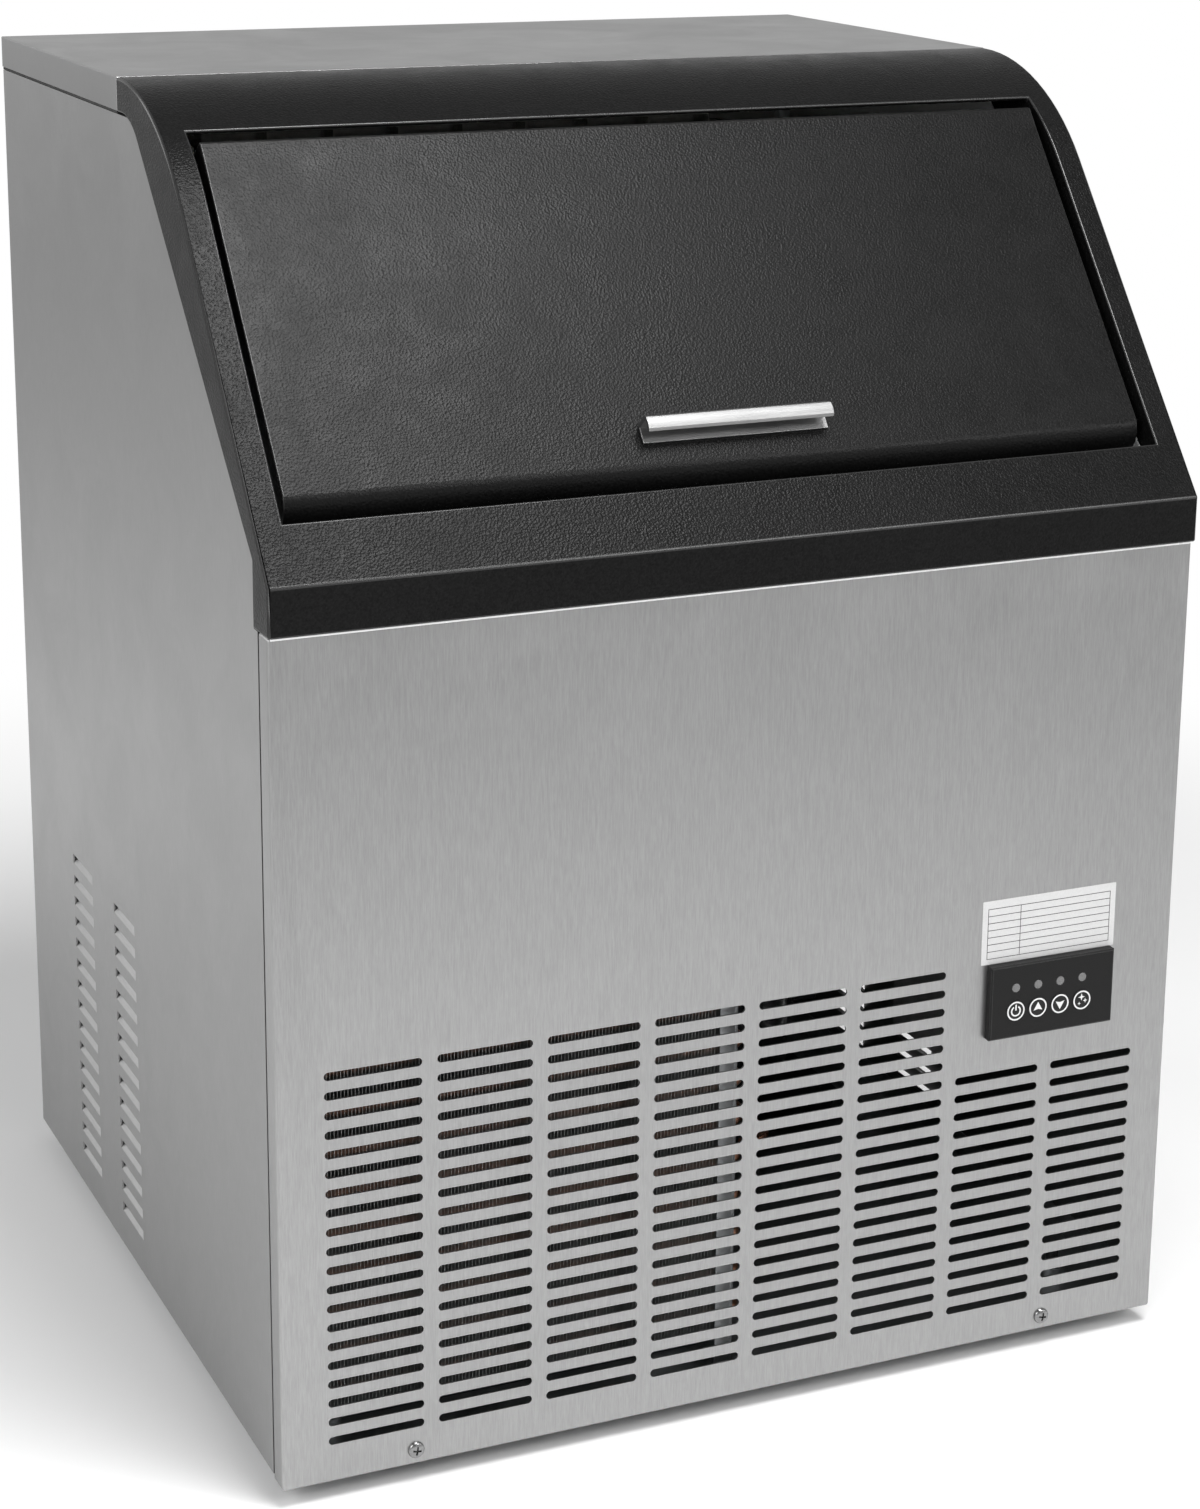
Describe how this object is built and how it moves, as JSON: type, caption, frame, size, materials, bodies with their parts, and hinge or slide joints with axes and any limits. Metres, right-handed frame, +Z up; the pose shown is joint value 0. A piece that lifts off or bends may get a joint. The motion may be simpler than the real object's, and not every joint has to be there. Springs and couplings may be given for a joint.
{
  "type": "undercounter ice maker",
  "caption": "Undercounter ice maker with a brushed steel cabinet, a slotted front grille, a sloping black door and a push-button panel.",
  "frame": {"origin": "centre of the footprint at the floor under the feet", "axes": "+X to the right seen from the front, +Y to the back, +Z up; the front panel faces -Y"},
  "size_m": [0.601, 0.5858, 0.812],
  "materials": {
    "steel": "vertical brushed grain, satin",
    "galvanised": "plain zinc-coated sheet, satin",
    "black_plastic": "fine pebble grain, matte",
    "white_plastic": "smooth, satin",
    "clear_plastic": "smooth, translucent",
    "foam": "rigid foam, matte",
    "aluminium": "satin",
    "rubber": "matte",
    "copper": "bare copper tube, satin",
    "nickel": "nickel plate, satin",
    "black_paint": "semi-gloss black",
    "screw_steel": "zinc-plated, bright"
  },
  "bodies": {
    "cabinet": {"back_panel": "galvanised", "base_pan": "galvanised", "bin_deck": "galvanised", "bin_insulation": "foam", "bin_liner": "white_plastic", "circulation_pump": "black_plastic", "compressor": "black_paint", "compressor_grommet_1": "rubber", "compressor_grommet_2": "rubber", "compressor_grommet_3": "rubber", "compressor_grommet_4": "rubber", "condenser": "aluminium", "control_housing": "black_plastic", "cord_gland": "black_plastic", "cover_gasket": "rubber", "cover_insulation": "foam", "discharge_pipe": "copper", "drain_hose": "rubber", "drain_spigot": "white_plastic", "electrical_box": "galvanised", "evaporator": "nickel", "evaporator_coil": "copper", "fan_bracket": "galvanised", "fan_motor": "black_paint", "fan_shroud": "galvanised", "fascia": "black_plastic", "filter_drier": "copper", "foot_front_left": "black_plastic", "foot_front_right": "black_plastic", "foot_rear_left": "black_plastic", "foot_rear_right": "black_plastic", "front_panel": "steel", "front_screw_left": "screw_steel", "front_screw_right": "screw_steel", "indicator_1": "clear_plastic", "indicator_2": "clear_plastic", "indicator_3": "clear_plastic", "indicator_4": "clear_plastic", "pump_hose": "clear_plastic", "side_left": "steel", "side_right": "steel", "suction_pipe": "copper", "top_cover": "steel", "water_distributor": "white_plastic", "water_inlet_valve": "white_plastic", "water_trough": "white_plastic"},
    "door": {"door_outer": "black_plastic", "door_liner": "white_plastic", "door_handle": "aluminium", "door_arm_left": "white_plastic", "door_arm_right": "white_plastic"},
    "splash_curtain": {"splash_curtain": "clear_plastic"},
    "float_ring": {"float_ring": "white_plastic"},
    "fan_blades": {"fan_blades": "aluminium"},
    "button_1": {"button_1": "black_plastic"},
    "button_2": {"button_2": "black_plastic"},
    "button_3": {"button_3": "black_plastic"},
    "button_4": {"button_4": "black_plastic"}
  },
  "joints": [
    {"name": "door_hinge", "type": "hinge", "parent": "cabinet", "child": "door", "pos_m": [0, -0.0841, 0.504], "axis": [-1, 0, 0], "range_deg": [0, 55]},
    {"name": "curtain_hinge", "type": "hinge", "parent": "cabinet", "child": "splash_curtain", "pos_m": [0, 0.1659, 0.7395], "axis": [-1, 0, 0], "range_deg": [0, 20]},
    {"name": "float_slide", "type": "slide", "parent": "cabinet", "child": "float_ring", "axis": [0, 0, 1], "range_m": [0, 0.03]},
    {"name": "fan_spin", "type": "hinge", "parent": "cabinet", "child": "fan_blades", "pos_m": [-0.135, -0.1946, 0.146], "axis": [0, 1, 0], "continuous": true},
    {"name": "button_1_press", "type": "slide", "parent": "cabinet", "child": "button_1", "axis": [0, 1, 0], "range_m": [0, 0.0006], "stiffness_N_per_m": 400, "springref_m": -0.0005},
    {"name": "button_2_press", "type": "slide", "parent": "cabinet", "child": "button_2", "axis": [0, 1, 0], "range_m": [0, 0.0006], "stiffness_N_per_m": 400, "springref_m": -0.0005},
    {"name": "button_3_press", "type": "slide", "parent": "cabinet", "child": "button_3", "axis": [0, 1, 0], "range_m": [0, 0.0006], "stiffness_N_per_m": 400, "springref_m": -0.0005},
    {"name": "button_4_press", "type": "slide", "parent": "cabinet", "child": "button_4", "axis": [0, 1, 0], "range_m": [0, 0.0006], "stiffness_N_per_m": 400, "springref_m": -0.0005}
  ]
}
